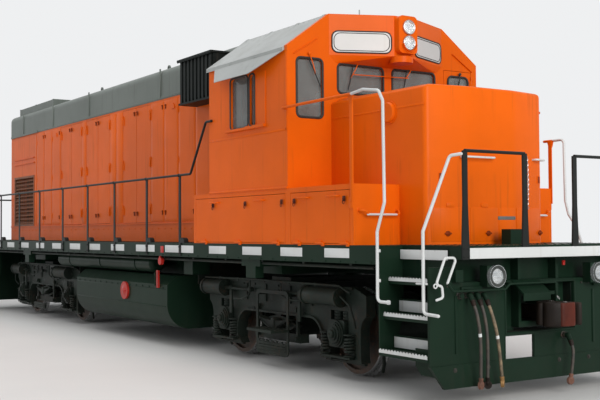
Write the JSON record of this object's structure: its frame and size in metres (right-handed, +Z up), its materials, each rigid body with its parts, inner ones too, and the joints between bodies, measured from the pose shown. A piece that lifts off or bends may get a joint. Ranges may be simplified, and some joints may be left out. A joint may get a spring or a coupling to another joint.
{
  "type": "diesel locomotive",
  "caption": "Diesel hood locomotive with a low nose, raised cab and long hood on two swivelling trucks, with opening hood doors, cab doors and box covers.",
  "frame": {"origin": "under the middle of the locomotive, at the foot of the wheel flanges", "axes": "+X towards the short nose, +Y to the left side, +Z up"},
  "size_m": [16.968, 3.4, 4.6899],
  "materials": {
    "body_orange": "gloss",
    "roof_grey": "satin",
    "cab_roof_grey": "satin",
    "filter_black": "satin",
    "grille_brown": "matte",
    "sill_green": "gloss",
    "truck_green": "matte",
    "wheel_steel": "matte",
    "coupler_iron": "matte",
    "window_glass": "gloss",
    "lamp_glass": "polished",
    "rail_black": "satin",
    "rail_white": "gloss",
    "hose_rubber": "matte",
    "board_white": "satin",
    "fitting_red": "satin",
    "engine_grey": "satin"
  },
  "bodies": {
    "locomotive": {"underframe": "sill_green", "end_plates": "sill_green", "corner_steps": "sill_green", "fuel_tank": "sill_green", "air_reservoirs": "sill_green", "equipment_boxes": "body_orange", "cab_sides": "body_orange", "cab_front_wall": "body_orange", "cab_rear_wall": "body_orange", "cab_roof": "cab_roof_grey", "window_glass": "window_glass", "short_nose": "body_orange", "lamp_housings": "body_orange", "lamps": "lamp_glass", "long_hood": "body_orange", "hood_roof": "roof_grey", "filter_boxes": "filter_black", "radiator_house": "roof_grey", "intake_grilles": "grille_brown", "engine_block": "engine_grey", "handrails": "rail_black", "box_rails": "body_orange", "step_rails": "rail_white", "number_boards": "board_white", "tank_fittings": "fitting_red", "hinge_knuckles": "body_orange", "cab_fittings": "engine_grey", "control_hoses": "hose_rubber", "brake_hose": "hose_rubber", "hose_grips": "coupler_iron"},
    "truck_front": {"truck_frame_front": "truck_green", "traction_motors_front": "truck_green"},
    "truck_rear": {"truck_frame_rear": "truck_green", "traction_motors_rear": "truck_green"},
    "wheelset_1": {"wheelset_1": "wheel_steel"},
    "wheelset_2": {"wheelset_2": "wheel_steel"},
    "wheelset_3": {"wheelset_3": "wheel_steel"},
    "wheelset_4": {"wheelset_4": "wheel_steel"},
    "coupler_front": {"coupler_front": "coupler_iron"},
    "coupler_rear": {"coupler_rear": "coupler_iron"},
    "cab_door_front": {"cab_door_front": "body_orange"},
    "cab_door_rear": {"cab_door_rear": "body_orange"},
    "base_cover_right": {"base_cover_right": "body_orange"},
    "base_cover_left": {"base_cover_left": "body_orange"},
    "front_cover_right": {"front_cover_right": "body_orange"},
    "front_cover_left": {"front_cover_left": "body_orange"},
    "hood_door_right_a_fore": {"hood_door_right_a_fore": "body_orange"},
    "hood_door_right_a_aft": {"hood_door_right_a_aft": "body_orange"},
    "hood_door_left_a_fore": {"hood_door_left_a_fore": "body_orange"},
    "hood_door_left_a_aft": {"hood_door_left_a_aft": "body_orange"},
    "hood_door_right_b_fore": {"hood_door_right_b_fore": "body_orange"},
    "hood_door_right_b_aft": {"hood_door_right_b_aft": "body_orange"},
    "hood_door_left_b_fore": {"hood_door_left_b_fore": "body_orange"},
    "hood_door_left_b_aft": {"hood_door_left_b_aft": "body_orange"},
    "hood_door_right_c_fore": {"hood_door_right_c_fore": "body_orange"},
    "hood_door_right_c_aft": {"hood_door_right_c_aft": "body_orange"},
    "hood_door_left_c_fore": {"hood_door_left_c_fore": "body_orange"},
    "hood_door_left_c_aft": {"hood_door_left_c_aft": "body_orange"}
  },
  "joints": [
    {"name": "truck_front_swivel", "type": "hinge", "parent": "locomotive", "child": "truck_front", "pos_m": [4.534, 0, 1.15], "axis": [0, 0, 1], "range_deg": [-6, 6]},
    {"name": "truck_rear_swivel", "type": "hinge", "parent": "locomotive", "child": "truck_rear", "pos_m": [-4.534, 0, 1.15], "axis": [0, 0, 1], "range_deg": [-6, 6]},
    {"name": "wheelset_1_roll", "type": "hinge", "parent": "truck_front", "child": "wheelset_1", "pos_m": [5.9055, 0, 0.533], "axis": [0, 1, 0], "continuous": true},
    {"name": "wheelset_2_roll", "type": "hinge", "parent": "truck_front", "child": "wheelset_2", "pos_m": [3.1625, 0, 0.533], "axis": [0, 1, 0], "continuous": true},
    {"name": "wheelset_3_roll", "type": "hinge", "parent": "truck_rear", "child": "wheelset_3", "pos_m": [-3.1625, 0, 0.533], "axis": [0, 1, 0], "continuous": true},
    {"name": "wheelset_4_roll", "type": "hinge", "parent": "truck_rear", "child": "wheelset_4", "pos_m": [-5.9055, 0, 0.533], "axis": [0, 1, 0], "continuous": true},
    {"name": "coupler_front_swing", "type": "hinge", "parent": "locomotive", "child": "coupler_front", "pos_m": [7.2, 0, 0.87], "axis": [0, 0, 1], "range_deg": [-7, 7]},
    {"name": "coupler_rear_swing", "type": "hinge", "parent": "locomotive", "child": "coupler_rear", "pos_m": [-7.2, 0, 0.87], "axis": [0, 0, 1], "range_deg": [-7, 7]},
    {"name": "cab_door_front_hinge", "type": "hinge", "parent": "locomotive", "child": "cab_door_front", "pos_m": [5.512, 1.424, 2.281], "axis": [0, 0, 1], "range_deg": [0, 90]},
    {"name": "cab_door_rear_hinge", "type": "hinge", "parent": "locomotive", "child": "cab_door_rear", "pos_m": [3.488, -1.424, 2.281], "axis": [0, 0, 1], "range_deg": [0, 90]},
    {"name": "base_cover_right_hinge", "type": "hinge", "parent": "locomotive", "child": "base_cover_right", "pos_m": [4.265, -1.536, 1.603], "axis": [1, 0, 0], "range_deg": [0, 165]},
    {"name": "base_cover_left_hinge", "type": "hinge", "parent": "locomotive", "child": "base_cover_left", "pos_m": [4.265, 1.536, 1.603], "axis": [-1, 0, 0], "range_deg": [0, 165]},
    {"name": "front_cover_right_hinge", "type": "hinge", "parent": "locomotive", "child": "front_cover_right", "pos_m": [6.165, -1.536, 1.603], "axis": [1, 0, 0], "range_deg": [0, 165]},
    {"name": "front_cover_left_hinge", "type": "hinge", "parent": "locomotive", "child": "front_cover_left", "pos_m": [6.165, 1.536, 1.603], "axis": [-1, 0, 0], "range_deg": [0, 165]},
    {"name": "hood_door_right_a_fore_hinge", "type": "hinge", "parent": "locomotive", "child": "hood_door_right_a_fore", "pos_m": [-2.992, -0.912, 1.905], "axis": [0, 0, 1], "range_deg": [0, 90]},
    {"name": "hood_door_right_a_aft_hinge", "type": "hinge", "parent": "locomotive", "child": "hood_door_right_a_aft", "pos_m": [-4.148, -0.912, 1.905], "axis": [0, 0, -1], "range_deg": [0, 90]},
    {"name": "hood_door_left_a_fore_hinge", "type": "hinge", "parent": "locomotive", "child": "hood_door_left_a_fore", "pos_m": [-2.992, 0.912, 1.905], "axis": [0, 0, -1], "range_deg": [0, 90]},
    {"name": "hood_door_left_a_aft_hinge", "type": "hinge", "parent": "locomotive", "child": "hood_door_left_a_aft", "pos_m": [-4.148, 0.912, 1.905], "axis": [0, 0, 1], "range_deg": [0, 90]},
    {"name": "hood_door_right_b_fore_hinge", "type": "hinge", "parent": "locomotive", "child": "hood_door_right_b_fore", "pos_m": [-1.572, -0.912, 1.905], "axis": [0, 0, 1], "range_deg": [0, 90]},
    {"name": "hood_door_right_b_aft_hinge", "type": "hinge", "parent": "locomotive", "child": "hood_door_right_b_aft", "pos_m": [-2.728, -0.912, 1.905], "axis": [0, 0, -1], "range_deg": [0, 90]},
    {"name": "hood_door_left_b_fore_hinge", "type": "hinge", "parent": "locomotive", "child": "hood_door_left_b_fore", "pos_m": [-1.572, 0.912, 1.905], "axis": [0, 0, -1], "range_deg": [0, 90]},
    {"name": "hood_door_left_b_aft_hinge", "type": "hinge", "parent": "locomotive", "child": "hood_door_left_b_aft", "pos_m": [-2.728, 0.912, 1.905], "axis": [0, 0, 1], "range_deg": [0, 90]},
    {"name": "hood_door_right_c_fore_hinge", "type": "hinge", "parent": "locomotive", "child": "hood_door_right_c_fore", "pos_m": [0.208, -0.912, 1.905], "axis": [0, 0, 1], "range_deg": [0, 90]},
    {"name": "hood_door_right_c_aft_hinge", "type": "hinge", "parent": "locomotive", "child": "hood_door_right_c_aft", "pos_m": [-0.948, -0.912, 1.905], "axis": [0, 0, -1], "range_deg": [0, 90]},
    {"name": "hood_door_left_c_fore_hinge", "type": "hinge", "parent": "locomotive", "child": "hood_door_left_c_fore", "pos_m": [0.208, 0.912, 1.905], "axis": [0, 0, -1], "range_deg": [0, 90]},
    {"name": "hood_door_left_c_aft_hinge", "type": "hinge", "parent": "locomotive", "child": "hood_door_left_c_aft", "pos_m": [-0.948, 0.912, 1.905], "axis": [0, 0, 1], "range_deg": [0, 90]}
  ]
}
